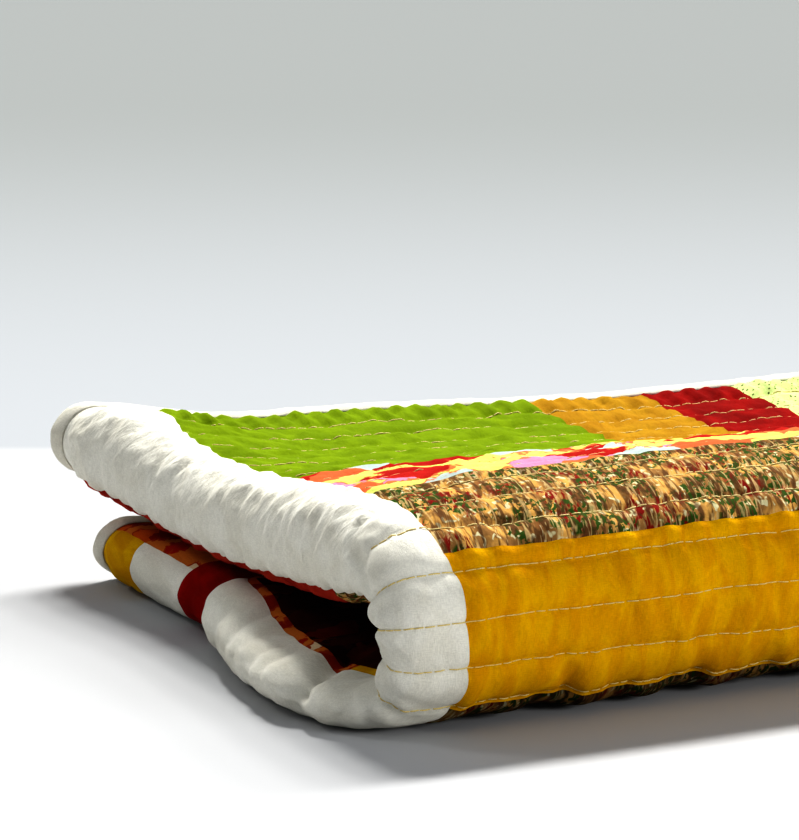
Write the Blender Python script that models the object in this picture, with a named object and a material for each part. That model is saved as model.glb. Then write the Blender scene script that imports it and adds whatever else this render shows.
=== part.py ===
# Folded baby quilt.
# The quilt lies folded twice. The first fold, across its length, is at the -X end,
# where two layers close in a soft loop. The second fold, along its length, is the
# fat roll at the -Y side. Four layers lie over each other, a little apart.
# Units are metres, +Z is up, and the origin is under the middle of the quilt.

import bmesh
import bpy
import math

MM = 0.001

# Driving sizes of the folded quilt, in millimetres as a maker would note them.
FOLDED_LENGTH = 507.0        # from the loop at the first fold to the end edges
HALF_WIDTH = 392.0           # cloth from the stitched row on the roll to a side edge
LAYER_THICKNESS = 15.0       # one layer of quilt at the top of a puff
LAYER_GAP = 0.8              # least distance between the two layers of a pair
ROW_PITCH = 25.0             # from one quilting row to the next
ROWS_EACH_SIDE = 15          # quilting rows on each side of the middle one
ROW_DEPTH = 3.5              # how far a row is drawn in on each face
PUFF_EDGE = 0.25             # share of the pitch where the flat of a puff starts
HEM_WIDTH = 9.0              # flattened rim of the quilt under the binding
LOOP_DEPTH = 21.0            # reach of the loop at the first fold
LOOP_STEPS = 6               # facets round that loop

# Binding cloth, wrapped over the rim of the quilt.
BINDING_GAP = 0.3            # clearance between the binding and the rim
BINDING_CLOTH = 1.2          # thickness of the binding, folded double
BINDING_CROWN = 0.9          # how far the binding's outer edge is rounded out

# Distances from the first fold at which the quilt's shape is worked out.
LENGTH_STATIONS = (488.0, 380.0, 260.0, 160.0, 100.0, 68.0, 42.0)

# Where along the length each of the three profiles below holds.
FOLD_END_AT = 12.0
MIDDLE_AT = 95.0
FAR_AT = 345.0
FLARE_LENGTH = 110.0         # stretch over which the end line wanders

# Profiles across the quilt, in millimetres. The girth is measured over the cloth from
# the row on the front of the roll, up and back over the top for positive values, and
# under the quilt for negative ones. For each girth, the outer and the inner face of a
# pair of layers have a distance from the front (y) and a height (z).
# Columns: girth, outer y, outer z, inner y, inner z.
MIDDLE_PROFILE = (
    (400.0, 374.0, 85.0, 374.0, 52.0),
    (350.0, 323.0, 82.0, 323.0, 49.0),
    (300.0, 272.0, 81.0, 272.0, 48.0),
    (250.0, 222.0, 85.0, 222.0, 52.0),
    (196.0, 170.0, 94.0, 169.0, 61.0),
    (150.0, 125.0, 102.0, 125.0, 69.0),
    (113.0, 89.0, 106.0, 93.0, 73.0),
    (75.0, 52.0, 103.0, 66.0, 71.5),
    (50.0, 29.0, 95.5, 52.0, 68.0),
    (35.0, 17.0, 87.5, 45.0, 64.5),
    (25.0, 10.5, 79.5, 41.0, 61.5),
    (0.0, 0.0, 57.0, 35.0, 53.0),
    (-25.0, 1.0, 33.0, 36.0, 44.0),
    (-50.0, 12.0, 12.5, 43.0, 37.5),
    (-66.0, 23.5, 4.5, 51.0, 34.5),
    (-80.0, 36.0, 1.2, 60.0, 33.5),
    (-95.0, 51.0, 0.0, 70.0, 33.3),
    (-130.0, 86.0, 0.0, 95.0, 33.0),
    (-400.0, 357.0, 0.0, 357.0, 33.0),
)

# Columns: girth, outer z, inner z. Beyond the crest of the roll only heights change.
FAR_HEIGHTS = (
    (400.0, 75.0, 42.0),
    (350.0, 73.0, 40.0),
    (300.0, 72.0, 39.0),
    (250.0, 75.0, 42.0),
    (196.0, 88.0, 55.0),
    (150.0, 99.5, 66.5),
    (113.0, 106.0, 73.0),
)

# Columns: girth, outer y, outer z, inner y, inner z, reach of the loop past the end.
FOLD_END_PROFILE = (
    (400.0, 411.0, 91.5, 413.0, 51.0, 9.0),
    (350.0, 352.0, 92.5, 353.0, 43.5, 4.0),
    (300.0, 295.0, 86.0, 295.0, 38.5, 0.0),
    (250.0, 240.0, 85.0, 240.0, 38.5, 0.0),
    (196.0, 183.0, 90.0, 183.0, 39.5, 0.0),
    (150.0, 137.0, 94.5, 137.0, 42.0, 0.0),
    (113.0, 100.0, 98.0, 100.0, 46.0, 0.0),
    (75.0, 61.0, 99.0, 66.0, 52.0, 1.0),
    (50.0, 36.0, 95.0, 51.0, 56.0, 2.0),
    (35.0, 21.0, 88.0, 44.0, 57.0, 3.0),
    (25.0, 12.0, 79.5, 41.0, 55.5, 4.0),
    (0.0, 0.0, 57.0, 36.0, 50.0, 5.0),
    (-25.0, 1.0, 33.0, 30.5, 41.0, 3.0),
    (-50.0, 12.0, 12.5, 33.0, 29.5, 4.0),
    (-66.0, 22.5, 4.5, 39.0, 25.0, 12.0),
    (-80.0, 35.0, 1.2, 47.0, 23.5, 20.0),
    (-95.0, 50.0, 0.0, 59.0, 24.0, 25.0),
    (-130.0, 86.0, 0.0, 92.0, 25.0, 30.0),
    (-180.0, 136.0, 0.0, 138.0, 27.0, 25.0),
    (-220.0, 176.0, 0.0, 176.0, 33.0, 16.0),
    (-246.0, 203.0, 0.0, 203.0, 35.0, 10.0),
    (-262.0, 220.0, 0.0, 220.0, 33.0, 2.0),
    (-320.0, 283.0, 0.0, 283.0, 34.0, 0.0),
    (-400.0, 374.0, 0.0, 374.0, 35.0, 0.0),
)

QUILT_COLOUR = (0.66, 0.36, 0.03, 1.0)
BINDING_COLOUR = (0.80, 0.77, 0.70, 1.0)


def smooth_step(value, start, end):
    """Rise smoothly from 0 at start to 1 at end."""
    share = min(max((value - start) / (end - start), 0.0), 1.0)
    return share * share * (3.0 - 2.0 * share)


def slopes(xs, ys):
    """Slopes of a curve through points that never overshoots them."""
    count = len(xs)
    steps = [(ys[i + 1] - ys[i]) / (xs[i + 1] - xs[i]) for i in range(count - 1)]
    result = [steps[0]]
    for before, after in zip(steps, steps[1:]):
        if before * after <= 0.0:
            result.append(0.0)
        else:
            result.append(2.0 * before * after / (before + after))
    result.append(steps[-1])
    return result


class Curve:
    """A smooth curve of one value over the girth, from a table's rows."""

    def __init__(self, girths, values):
        pairs = sorted(zip(girths, values))
        self.xs = [pair[0] for pair in pairs]
        self.ys = [pair[1] for pair in pairs]
        self.slopes = slopes(self.xs, self.ys)

    def at(self, x):
        last = len(self.xs) - 2
        i = 0
        while i < last and x > self.xs[i + 1]:
            i += 1
        width = self.xs[i + 1] - self.xs[i]
        t = min(max((x - self.xs[i]) / width, 0.0), 1.0)
        rise = self.ys[i + 1] - self.ys[i]
        start = self.slopes[i] * width
        end = self.slopes[i + 1] * width
        curve = start + (3.0 * rise - 2.0 * start - end) * t
        curve += (start + end - 2.0 * rise) * t * t
        return self.ys[i] + t * curve


def table_curves(table):
    """One curve for each column of a table after its girth column."""
    columns = list(zip(*table))
    return [Curve(columns[0], column) for column in columns[1:]]


def far_table():
    """The middle profile with the lower heights that hold far from the first fold."""
    heights = {row[0]: row[1:] for row in FAR_HEIGHTS}
    rows = []
    for girth, outer_y, outer_z, inner_y, inner_z in MIDDLE_PROFILE:
        outer_z, inner_z = heights.get(girth, (outer_z, inner_z))
        rows.append((girth, outer_y, outer_z, inner_y, inner_z))
    return rows


MIDDLE = table_curves(MIDDLE_PROFILE)
FAR = table_curves(far_table())
FOLD_END = table_curves(FOLD_END_PROFILE)


def pair_faces(length, girth):
    """Outer and inner face of the pair of layers at one place, as (y, z) each."""
    far_share = smooth_step(length, MIDDLE_AT, FAR_AT)
    end_share = 1.0 - smooth_step(length, FOLD_END_AT, MIDDLE_AT)
    values = []
    for middle, far, end in zip(MIDDLE, FAR, FOLD_END):
        value = middle.at(girth) * (1.0 - far_share) + far.at(girth) * far_share
        value = value * (1.0 - end_share) + end.at(girth) * end_share
        values.append(value)
    return values[:2], values[2:]


def place(station, girth, depth):
    """Point of the quilt at a station, a girth and a depth under the pair's outside.

    A station is the layer and the distance from the first fold, or the angle round
    the loop there. Where a pair is pressed flat its layers get thinner.
    """
    kind, value = station
    length = LOOP_DEPTH if kind == "loop" else value
    outer, inner = pair_faces(length, girth)
    thickness = math.hypot(inner[0] - outer[0], inner[1] - outer[1])
    depth *= min(1.0, 0.5 * (thickness - LAYER_GAP) / LAYER_THICKNESS)
    if kind == "loop":
        x = LOOP_DEPTH - (LOOP_DEPTH - depth) * math.sin(value)
    else:
        x = value
    share = depth / thickness
    if kind == "inner":
        share = 1.0 - share
    elif kind == "loop":
        share = 0.5 - (0.5 - share) * math.cos(value)
    reach = FOLD_END[4].at(girth)
    x -= reach * (1.0 - smooth_step(x, 0.0, FLARE_LENGTH))
    y = outer[0] + (inner[0] - outer[0]) * share
    z = outer[1] + (inner[1] - outer[1]) * share
    return (x * MM, y * MM, z * MM)


def stations_across(past_end=0.0):
    """All stations, in by the outer layer, round the loop and out by the inner one.

    The first and the last one lie past the end edge by the given distance.
    """
    hem_start = FOLDED_LENGTH - HEM_WIDTH
    lengths = [LOOP_DEPTH] + sorted(LENGTH_STATIONS)
    lengths += [hem_start, FOLDED_LENGTH + past_end]
    result = [("outer", length) for length in reversed(lengths)]
    for step in range(1, LOOP_STEPS):
        result.append(("loop", math.pi * step / LOOP_STEPS))
    result += [("inner", length) for length in lengths]
    return result


def row_girths():
    return [k * ROW_PITCH for k in range(-ROWS_EACH_SIDE, ROWS_EACH_SIDE + 1)]


def girth_stations():
    """Girths at which the cloth has points, with the depth of the quilting at each."""
    shoulder = ROW_PITCH * PUFF_EDGE
    hem_start = HALF_WIDTH - HEM_WIDTH
    result = []
    for girth in row_girths():
        result.append((girth - shoulder, 0.0))
        result.append((girth, ROW_DEPTH))
        result.append((girth + shoulder, 0.0))
    rims = [(hem_start, ROW_DEPTH), (HALF_WIDTH, ROW_DEPTH)]
    result = [item for item in result if abs(item[0]) < hem_start] + rims
    result += [(-girth, depth) for girth, depth in rims]
    result.sort()
    return result


def row_depth_at(station, depth):
    """Depth of the quilting at a station: the flattened rim has the row's own depth."""
    kind, value = station
    if kind != "loop" and value >= FOLDED_LENGTH - HEM_WIDTH:
        return ROW_DEPTH
    return depth


def skin(name, outside, inside, walled=False):
    """Closed solid between two grids of points with the same layout.

    Walled closes the hollow between the grids' outer edges with a wall at both ends,
    as the folded corner of a binding does.
    """
    mesh = bmesh.new()
    grids = []
    for grid in (outside, inside):
        grids.append([[mesh.verts.new(point) for point in line] for line in grid])
    outer, inner = grids
    lines = len(outer)
    points = len(outer[0])
    for i in range(lines - 1):
        for j in range(points - 1):
            for side in grids:
                mesh.faces.new((side[i][j], side[i + 1][j],
                                side[i + 1][j + 1], side[i][j + 1]))
        for j in (0, points - 1):
            mesh.faces.new((outer[i][j], outer[i + 1][j], inner[i + 1][j], inner[i][j]))
    for i in (0, lines - 1):
        if walled:
            mesh.faces.new(outer[i])
            mesh.faces.new(inner[i])
            mesh.faces.new((outer[i][0], outer[i][-1], inner[i][-1], inner[i][0]))
        else:
            for j in range(points - 1):
                mesh.faces.new((outer[i][j], outer[i][j + 1],
                                inner[i][j + 1], inner[i][j]))
    bmesh.ops.triangulate(mesh, faces=mesh.faces, quad_method="SHORT_EDGE")
    bmesh.ops.recalc_face_normals(mesh, faces=mesh.faces)
    data = bpy.data.meshes.new(name)
    mesh.to_mesh(data)
    mesh.free()
    return bpy.data.objects.new(name, data)


def quilt_layers():
    """The quilt itself: one piece of quilted cloth in four layers."""
    outside = []
    inside = []
    for girth, depth in girth_stations():
        outer_line = []
        inner_line = []
        for station in stations_across():
            drawn_in = row_depth_at(station, depth)
            outer_line.append(place(station, girth, drawn_in))
            inner_line.append(place(station, girth, LAYER_THICKNESS - drawn_in))
        outside.append(outer_line)
        inside.append(inner_line)
    return skin("quilt_layers", outside, inside)


def binding_section(rim, sign):
    """Section of the binding over a rim, as (distance, depth) outside and inside.

    The rim is where the quilt ends, and sign tells which way is outwards.
    """
    start = rim - sign * HEM_WIDTH
    near = ROW_DEPTH - BINDING_GAP
    far = LAYER_THICKNESS - near
    edge = rim + sign * BINDING_GAP
    middle = 0.5 * LAYER_THICKNESS
    inside = [(start, near), (edge, near), (edge, middle), (edge, far), (start, far)]
    cloth = BINDING_CLOTH
    outer_edge = edge + sign * cloth
    crown = outer_edge + sign * BINDING_CROWN
    outside = [(start, near - cloth), (outer_edge, near - cloth), (crown, middle),
               (outer_edge, far + cloth), (start, far + cloth)]
    return outside, inside


def side_binding(name, sign):
    """Binding along a side edge of the quilt, round the loop at the first fold."""
    outside, inside = binding_section(sign * HALF_WIDTH, sign)
    reach = BINDING_GAP + BINDING_CLOTH
    grids = []
    for section, past_end in ((outside, reach), (inside, BINDING_GAP)):
        lines = []
        for station in stations_across(past_end):
            lines.append([place(station, girth, depth) for girth, depth in section])
        grids.append(lines)
    return skin(name, grids[0], grids[1], walled=True)


def end_binding(name, kind):
    """Binding along an end edge of the quilt, round the roll."""
    limit = HALF_WIDTH - HEM_WIDTH - BINDING_GAP
    girths = [item[0] for item in girth_stations() if abs(item[0]) < limit]
    girths = [-limit] + girths + [limit]
    grids = []
    for section in binding_section(FOLDED_LENGTH, 1.0):
        lines = []
        for girth in girths:
            lines.append([place((kind, x), girth, depth) for x, depth in section])
        grids.append(lines)
    return skin(name, grids[0], grids[1])


def cloth_material(name, colour):
    material = bpy.data.materials.new(name)
    material.use_nodes = True
    shader = material.node_tree.nodes["Principled BSDF"]
    shader.inputs["Base Color"].default_value = colour
    shader.inputs["Roughness"].default_value = 0.9
    shader.inputs["Metallic"].default_value = 0.0
    material.diffuse_color = colour
    return material


def clear_scene():
    for item in list(bpy.data.objects):
        bpy.data.objects.remove(item, do_unlink=True)


def centre_on_floor(objects):
    """Move the points so that the origin is under the middle of the whole quilt."""
    points = [vertex.co for item in objects for vertex in item.data.vertices]
    middle = [0.5 * (min(p[i] for p in points) + max(p[i] for p in points))
              for i in range(2)]
    for item in objects:
        for vertex in item.data.vertices:
            vertex.co.x -= middle[0]
            vertex.co.y -= middle[1]


def build():
    clear_scene()
    collection = bpy.data.collections.new("baby_quilt")
    bpy.context.scene.collection.children.link(collection)
    quilt = quilt_layers()
    quilt.data.materials.append(cloth_material("quilted_cloth", QUILT_COLOUR))
    bindings = [
        side_binding("binding_upper_side", 1.0),
        side_binding("binding_lower_side", -1.0),
        end_binding("binding_outer_end", "outer"),
        end_binding("binding_inner_end", "inner"),
    ]
    binding_cloth = cloth_material("binding_cloth", BINDING_COLOUR)
    for item in bindings:
        item.data.materials.append(binding_cloth)
    parts = [quilt] + bindings
    centre_on_floor(parts)
    for item in parts:
        collection.objects.link(item)


build()
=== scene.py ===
# Looks of the folded baby quilt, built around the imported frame.
# The quilt's cloth is mapped from its flat sheet onto its folds. On the flat sheet, u
# runs along the quilt's length, from 0 at the first fold, positive over the outer
# layers and negative over the inner ones. The girth g runs across it from the
# row on the front of the roll, positive over the top. Both are in millimetres.

import math

import bpy
import numpy as np
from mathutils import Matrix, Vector


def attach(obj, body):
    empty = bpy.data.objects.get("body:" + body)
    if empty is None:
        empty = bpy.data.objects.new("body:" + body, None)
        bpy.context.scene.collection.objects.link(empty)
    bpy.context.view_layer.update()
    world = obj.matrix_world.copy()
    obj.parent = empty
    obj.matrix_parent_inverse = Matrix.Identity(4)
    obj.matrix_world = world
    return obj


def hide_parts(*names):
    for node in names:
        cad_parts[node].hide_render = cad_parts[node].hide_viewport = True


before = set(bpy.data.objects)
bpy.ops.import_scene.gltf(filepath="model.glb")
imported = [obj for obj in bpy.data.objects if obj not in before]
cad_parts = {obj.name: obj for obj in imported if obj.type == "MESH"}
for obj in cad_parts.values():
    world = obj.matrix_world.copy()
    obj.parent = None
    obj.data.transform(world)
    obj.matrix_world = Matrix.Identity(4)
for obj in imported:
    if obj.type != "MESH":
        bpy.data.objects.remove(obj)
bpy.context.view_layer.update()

MM = 0.001

# The fold's shape, as in the solids. Sizes in millimetres.
FOLDED_LENGTH = 507.0
HALF_WIDTH = 392.0
LAYER_THICKNESS = 15.0
LAYER_GAP = 0.8
ROW_PITCH = 25.0
ROWS_EACH_SIDE = 15
ROW_DEPTH = 3.5
HEM_WIDTH = 9.0
LOOP_DEPTH = 21.0
FOLD_END_AT = 12.0
MIDDLE_AT = 95.0
FAR_AT = 345.0
FLARE_LENGTH = 110.0
BINDING_GAP = 0.3
BINDING_CLOTH = 1.2
BINDING_CROWN = 0.9

# Middle of the quilt's box, measured from its first fold and the front of the roll.
MIDDLE_X = 239.7025
MIDDLE_Y = 202.382

# Half of the cloth that goes round the loop, and where the flat layers start.
LOOP_HALF = 37.5
LOOP_EXTRA = LOOP_HALF - LOOP_DEPTH
SHEET_END = FOLDED_LENGTH + LOOP_EXTRA

# Columns: girth, outer y, outer z, inner y, inner z.
MIDDLE_PROFILE = (
    (400.0, 374.0, 85.0, 374.0, 52.0),
    (350.0, 323.0, 82.0, 323.0, 49.0),
    (300.0, 272.0, 81.0, 272.0, 48.0),
    (250.0, 222.0, 85.0, 222.0, 52.0),
    (196.0, 170.0, 94.0, 169.0, 61.0),
    (150.0, 125.0, 102.0, 125.0, 69.0),
    (113.0, 89.0, 106.0, 93.0, 73.0),
    (75.0, 52.0, 103.0, 66.0, 71.5),
    (50.0, 29.0, 95.5, 52.0, 68.0),
    (35.0, 17.0, 87.5, 45.0, 64.5),
    (25.0, 10.5, 79.5, 41.0, 61.5),
    (0.0, 0.0, 57.0, 35.0, 53.0),
    (-25.0, 1.0, 33.0, 36.0, 44.0),
    (-50.0, 12.0, 12.5, 43.0, 37.5),
    (-66.0, 23.5, 4.5, 51.0, 34.5),
    (-80.0, 36.0, 1.2, 60.0, 33.5),
    (-95.0, 51.0, 0.0, 70.0, 33.3),
    (-130.0, 86.0, 0.0, 95.0, 33.0),
    (-400.0, 357.0, 0.0, 357.0, 33.0),
)

# Columns: girth, outer z, inner z.
FAR_HEIGHTS = (
    (400.0, 75.0, 42.0),
    (350.0, 73.0, 40.0),
    (300.0, 72.0, 39.0),
    (250.0, 75.0, 42.0),
    (196.0, 88.0, 55.0),
    (150.0, 99.5, 66.5),
    (113.0, 106.0, 73.0),
)

# Columns: girth, outer y, outer z, inner y, inner z, reach of the loop past the end.
FOLD_END_PROFILE = (
    (400.0, 411.0, 91.5, 413.0, 51.0, 9.0),
    (350.0, 352.0, 92.5, 353.0, 43.5, 4.0),
    (300.0, 295.0, 86.0, 295.0, 38.5, 0.0),
    (250.0, 240.0, 85.0, 240.0, 38.5, 0.0),
    (196.0, 183.0, 90.0, 183.0, 39.5, 0.0),
    (150.0, 137.0, 94.5, 137.0, 42.0, 0.0),
    (113.0, 100.0, 98.0, 100.0, 46.0, 0.0),
    (75.0, 61.0, 99.0, 66.0, 52.0, 1.0),
    (50.0, 36.0, 95.0, 51.0, 56.0, 2.0),
    (35.0, 21.0, 88.0, 44.0, 57.0, 3.0),
    (25.0, 12.0, 79.5, 41.0, 55.5, 4.0),
    (0.0, 0.0, 57.0, 36.0, 50.0, 5.0),
    (-25.0, 1.0, 33.0, 30.5, 41.0, 3.0),
    (-50.0, 12.0, 12.5, 33.0, 29.5, 4.0),
    (-66.0, 22.5, 4.5, 39.0, 25.0, 12.0),
    (-80.0, 35.0, 1.2, 47.0, 23.5, 20.0),
    (-95.0, 50.0, 0.0, 59.0, 24.0, 25.0),
    (-130.0, 86.0, 0.0, 92.0, 25.0, 30.0),
    (-180.0, 136.0, 0.0, 138.0, 27.0, 25.0),
    (-220.0, 176.0, 0.0, 176.0, 33.0, 16.0),
    (-246.0, 203.0, 0.0, 203.0, 35.0, 10.0),
    (-262.0, 220.0, 0.0, 220.0, 33.0, 2.0),
    (-320.0, 283.0, 0.0, 283.0, 34.0, 0.0),
    (-400.0, 374.0, 0.0, 374.0, 35.0, 0.0),
)

# Edges of the strip that goes round the first fold: the outer one, and the inner one over
# the upper and the lower loop. END is past the end of the sheet.
STRIP = 49.5
NEAR_STRIP = -19.5
LOWER_STRIP = -42.0
END = 600.0

# Patches of the quilt's face. The first row that holds a place gives its cloth.
# Columns: cloth, u from, u to, girth from, girth to.
PATCHES = (
    ("crinkled", NEAR_STRIP, STRIP, 62.0, 400.0),
    ("red", -STRIP, STRIP, -292.0, -257.0),
    ("yellow", -22.0, STRIP, -384.0, -348.0),
    ("warm_floral", -130.0, -22.0, -400.0, -292.0),
    ("mustard", STRIP, END, -53.0, 34.0),
    ("brown_print", STRIP, END, 34.0, 113.0),
    ("floral", STRIP, END, 113.0, 196.0),
    ("green", STRIP, 268.5, 196.0, 400.0),
    ("tan", 268.5, 341.5, 196.0, 400.0),
    ("red", 341.5, 401.5, 196.0, 400.0),
    ("dotted", 401.5, END, 196.0, 400.0),
    # The print under the roll is a darkened copy, as painted shade.
    ("under_print_painted_shade", STRIP, END, -145.0, -53.0),
    ("tan", STRIP, 230.0, -292.0, -145.0),
    ("green", 230.0, END, -292.0, -145.0),
    ("red", STRIP, 330.0, -400.0, -292.0),
    ("dotted", 330.0, END, -400.0, -292.0),
    # Deep in the hollow the print is near black as painted shade.
    ("hollow_print_painted_shade", -130.0, -47.0, -250.0, 400.0),
    ("coral", -36.0, NEAR_STRIP, 100.0, 400.0),
    ("brown_print", -130.0, NEAR_STRIP, 45.0, 100.0),
    ("yellow", -130.0, LOWER_STRIP, -98.0, 45.0),
    ("warm_floral", -130.0, LOWER_STRIP, -257.0, -98.0),
    ("tan", -300.0, -130.0, 100.0, 400.0),
    ("dotted", -300.0, -130.0, -400.0, -100.0),
    ("mustard", -END, -130.0, -100.0, 100.0),
    ("floral", -END, -300.0, 100.0, 400.0),
    ("red", -END, -300.0, -400.0, -100.0),
)

# Order of the quilt's material slots.
CLOTHS = ("white", "mustard", "brown_print", "under_print_painted_shade", "floral", "green", "tan", "red",
          "dotted", "yellow", "warm_floral", "coral", "hollow_print_painted_shade", "crinkled", "backing")


# Fold shape

# How far the cloth stays above the floor, in metres.
FLOOR_CLEARANCE = 0.0003


def smooth_step(value, start, end):
    share = np.clip((value - start) / (end - start), 0.0, 1.0)
    return share * share * (3.0 - 2.0 * share)


def curve(girths, values):
    """Smooth curve through points that never overshoots them, as a function."""
    order = np.argsort(girths)
    xs = np.array(girths)[order]
    ys = np.array(values)[order]
    steps = np.diff(ys) / np.diff(xs)
    product = steps[:-1] * steps[1:]
    total = np.where(product > 0.0, steps[:-1] + steps[1:], 1.0)
    inner = np.where(product > 0.0, 2.0 * product / total, 0.0)
    slopes = np.concatenate(([steps[0]], inner, [steps[-1]]))

    def at(x):
        i = np.clip(np.searchsorted(xs, x, side="left") - 1, 0, len(xs) - 2)
        width = xs[i + 1] - xs[i]
        t = np.clip((x - xs[i]) / width, 0.0, 1.0)
        rise = ys[i + 1] - ys[i]
        start = slopes[i] * width
        end = slopes[i + 1] * width
        bend = start + (3.0 * rise - 2.0 * start - end) * t
        bend += (start + end - 2.0 * rise) * t * t
        return ys[i] + t * bend

    return at


def table_curves(table):
    columns = list(zip(*table))
    return [curve(columns[0], column) for column in columns[1:]]


def far_table():
    heights = {row[0]: row[1:] for row in FAR_HEIGHTS}
    rows = []
    for girth, outer_y, outer_z, inner_y, inner_z in MIDDLE_PROFILE:
        outer_z, inner_z = heights.get(girth, (outer_z, inner_z))
        rows.append((girth, outer_y, outer_z, inner_y, inner_z))
    return rows


MIDDLE = table_curves(MIDDLE_PROFILE)
FAR = table_curves(far_table())
FOLD_END = table_curves(FOLD_END_PROFILE)


def fold(u, g, depth):
    """Points of the folded quilt for places on the sheet, at a depth under its face."""
    u, g, depth = np.broadcast_arrays(np.asarray(u, float), np.asarray(g, float),
                                      np.asarray(depth, float))
    in_loop = np.abs(u) < LOOP_HALF
    angle = 0.5 * math.pi * (1.0 - np.clip(u / LOOP_HALF, -1.0, 1.0))
    length = np.where(in_loop, LOOP_DEPTH, np.abs(u) - LOOP_EXTRA)
    far_share = smooth_step(length, MIDDLE_AT, FAR_AT)
    end_share = 1.0 - smooth_step(length, FOLD_END_AT, MIDDLE_AT)
    sides = []
    for middle, far, end in zip(MIDDLE, FAR, FOLD_END):
        value = middle(g) * (1.0 - far_share) + far(g) * far_share
        sides.append(value * (1.0 - end_share) + end(g) * end_share)
    outer_y, outer_z, inner_y, inner_z = sides
    thickness = np.hypot(inner_y - outer_y, inner_z - outer_z)
    pressed = np.minimum(1.0, 0.5 * (thickness - LAYER_GAP) / LAYER_THICKNESS)
    depth = np.where(depth > 0.0, depth * pressed, depth)
    x = np.where(in_loop, LOOP_DEPTH - (LOOP_DEPTH - depth) * np.sin(angle),
                 np.abs(u) - LOOP_EXTRA)
    share = 0.5 - (0.5 - depth / thickness) * np.cos(angle)
    reach = FOLD_END[4](g)
    x = x - reach * (1.0 - smooth_step(x, 0.0, FLARE_LENGTH))
    y = outer_y + (inner_y - outer_y) * share
    z = outer_z + (inner_z - outer_z) * share
    return np.stack(((x - MIDDLE_X) * MM, (y - MIDDLE_Y) * MM, z * MM), axis=-1)


# Relief of the cloth

LATTICE = 256

# Whole cells that keep every place positive in the lattice.
LATTICE_SHIFT = 4096.0


def blend_share(share):
    """Share of a cell turned into a blend with no kink at the cell's edges."""
    return share * share * share * (share * (6.0 * share - 15.0) + 10.0)


def wander(u, g, size_u, size_g, seed):
    """Smooth random field from -1 to 1 with lumps of the given sizes."""
    lattice = np.random.default_rng(seed).uniform(-1.0, 1.0, (LATTICE, LATTICE))
    scaled_u = u / size_u + LATTICE_SHIFT
    scaled_g = g / size_g + LATTICE_SHIFT
    cell_u = np.floor(scaled_u).astype(int)
    cell_g = np.floor(scaled_g).astype(int)
    across = blend_share(scaled_u - cell_u)
    up = blend_share(scaled_g - cell_g)
    left = cell_u % LATTICE
    right = (cell_u + 1) % LATTICE
    bottom = cell_g % LATTICE
    top = (cell_g + 1) % LATTICE
    low = lattice[left, bottom] * (1.0 - across) + lattice[right, bottom] * across
    high = lattice[left, top] * (1.0 - across) + lattice[right, top] * across
    return low * (1.0 - up) + high * up


def bump(value, low, high, soft):
    """1 between low and high, falling to 0 over the soft width outside them."""
    return smooth_step(value, low - soft, low) * (1.0 - smooth_step(value, high, high + soft))


# How far the quilting rows sink under the puffs: on the front of the roll, on the stack's
# top, on the strip's top, on the lower lobe and in the mouth of the hollow.
FRONT_DEPTH = 2.6
TOP_DEPTH = 1.7
LOOP_TOP_DEPTH = 0.35
HUMP_DEPTH = 0.5
MOUTH_DEPTH = 4.2

# Section of a row: a broad sag and a sharp nick, and how uneven its depth is along it.
BROAD_SHARE = 0.55
BROAD_POWER = 2.2
NICK_SHARE = 0.45
NICK_WIDTH = 1.9
ROW_UNEVEN = 0.35
ROW_UNEVEN_SIZE = (34.0, 11.0)
PUCKER_REACH = 5.0

# Puffs between the rows on the flat top.
PUFF_HEIGHT = 1.5
PUFF_SIZE = (9.0, 7.0)

# Scallops of the back edge.
EDGE_BUMP = 12.5
EDGE_BUMP_HEIGHT = 2.4
EDGE_BUMP_DRIFT = 2.2
EDGE_DRIFT_SIZE = (30.0, 90.0)

# How far before the binding the cloth begins to sink.
HEM_TAPER = 12.0

# Patch seams. Columns: place across the seam, start and end along it.
SEAM_DEPTH = 0.8
SEAM_WIDTH = 1.6
SEAM_END_SOFT = 2.0
U_SEAMS = ((STRIP, -66.0, 392.0), (268.5, 196.0, 392.0), (341.5, 196.0, 392.0),
           (401.5, 196.0, 392.0), (NEAR_STRIP, 45.0, 392.0), (LOWER_STRIP, -257.0, 45.0))
G_SEAMS = ((34.0, STRIP, SHEET_END), (113.0, STRIP, SHEET_END), (196.0, STRIP, SHEET_END),
           (-53.0, STRIP, SHEET_END), (-257.0, -STRIP, STRIP), (-292.0, -STRIP, STRIP),
           (-348.0, -STRIP, STRIP), (-384.0, -STRIP, STRIP))

# Random lumps of the face. Columns: zone, height, slant of u with g, slant of g with u,
# size in u, size in g, seed.
LUMPS = (
    ("puckers", 0.7, 0.0, 0.0, 5.0, 10.0, 5),
    ("all", 0.45, 0.3, 0.0, 8.0, 40.0, 7),
    ("roll", 1.3, 0.3, 0.0, 8.0, 40.0, 7),
    ("all", 0.6, -0.2, 0.0, 19.0, 60.0, 11),
    ("roll", 1.8, -0.2, 0.0, 19.0, 60.0, 11),
    ("flat_top", 0.7, 0.0, 0.0, 6.0, 9.0, 47),
    ("loop_top", 1.2, -0.4, 0.0, 13.0, 7.0, 13),
    ("loop_top", 1.1, 0.0, 0.3, 8.0, 4.4, 53),
    ("tucks", 0.45, 0.0, 0.0, 60.0, 9.0, 17),
    ("tucks", 0.6, 0.0, 0.0, 20.0, 17.0, 59),
    ("tucks", 0.45, -0.5, 0.0, 13.0, 5.5, 67),
    ("front", 0.7, 0.7, -0.3, 9.0, 26.0, 19),
)

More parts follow.
